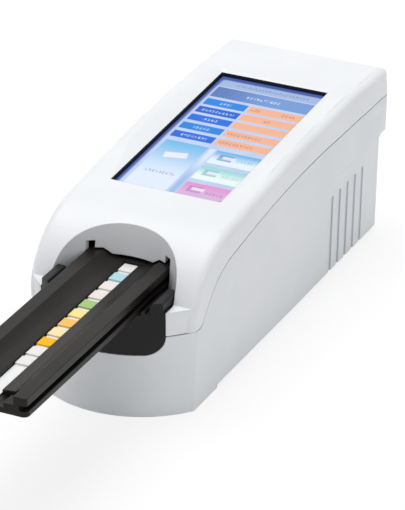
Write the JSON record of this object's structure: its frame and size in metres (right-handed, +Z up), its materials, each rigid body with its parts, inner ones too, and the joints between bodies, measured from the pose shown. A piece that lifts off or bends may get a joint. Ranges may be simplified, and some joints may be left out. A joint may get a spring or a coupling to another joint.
{
  "type": "urine analyzer",
  "caption": "Small bench urine analyser with a screen on its sloping top and a motor-driven test strip tray run out of the front.",
  "frame": {"origin": "on the table, on the middle plane, midway between the test strip's free end and the rear of the housing with the tray run out", "axes": "+X to the right seen from the front, -Y out of the front where the tray comes out, +Z up"},
  "size_m": [0.0618, 0.2468, 0.0622],
  "materials": {
    "housing_grey": "fine satin",
    "cover_white": "satin",
    "black_plastic": "matt",
    "nylon": "matt",
    "ceramic": "gloss",
    "strip_film": "satin",
    "pad_paper": "matt",
    "steel": "satin",
    "brass": "satin",
    "motor_can": "satin",
    "clear_glass": "gloss",
    "board_green": "satin",
    "screen_glass": "gloss",
    "panel_steel": "satin",
    "chip_black": "matt",
    "switch_black": "satin",
    "foot_rubber": "matt"
  },
  "bodies": {
    "housing": {"base_shell": "housing_grey", "top_cover": "cover_white", "tray_port": "black_plastic", "guide_chassis": "black_plastic", "chassis_screws": "steel", "home_sensor": "black_plastic", "gear_axle": "steel", "motor_bracket": "steel", "drive_motor": "motor_can", "motor_screws": "steel", "optics_housing": "black_plastic", "optics_window": "clear_glass", "sensor_board": "board_green", "touch_glass": "screen_glass", "lcd_module": "panel_steel", "display_frame": "black_plastic", "display_screws": "steel", "main_board": "board_green", "board_screws": "steel", "board_chips": "chip_black", "buzzer": "chip_black", "power_jack": "chip_black", "usb_port": "panel_steel", "switch_housing": "switch_black", "case_screws": "steel", "rubber_feet": "foot_rubber"},
    "tray": {"tray_carrier": "black_plastic", "strip_holder": "black_plastic", "tray_rack": "nylon", "reference_plate": "ceramic", "test_strip": "strip_film", "reagent_pads": "pad_paper"},
    "gear": {"drive_gear": "nylon"},
    "pinion": {"motor_pinion": "brass"},
    "rocker": {"switch_rocker": "switch_black"}
  },
  "joints": [
    {"name": "tray_slide", "type": "slide", "parent": "housing", "child": "tray", "axis": [0, 1, 0], "range_m": [0, 0.092]},
    {"name": "gear_turn", "type": "hinge", "parent": "housing", "child": "gear", "pos_m": [-0.0096, 0.0055, 0.0296], "axis": [1, 0, 0], "range_deg": [-600, 10]},
    {"name": "pinion_turn", "type": "hinge", "parent": "housing", "child": "pinion", "pos_m": [-0.0096, 0.0055, 0.01535], "axis": [1, 0, 0], "range_deg": [-15, 1020]},
    {"name": "rocker_tip", "type": "hinge", "parent": "housing", "child": "rocker", "pos_m": [0.009, 0.1158, 0.028], "axis": [0, 0, 1], "range_deg": [0, 18]}
  ],
  "couplings": [
    {"joint": "gear_turn", "follows": "tray_slide", "rad_per_m": -111.11},
    {"joint": "pinion_turn", "follows": "tray_slide", "rad_per_m": 190.48}
  ]
}
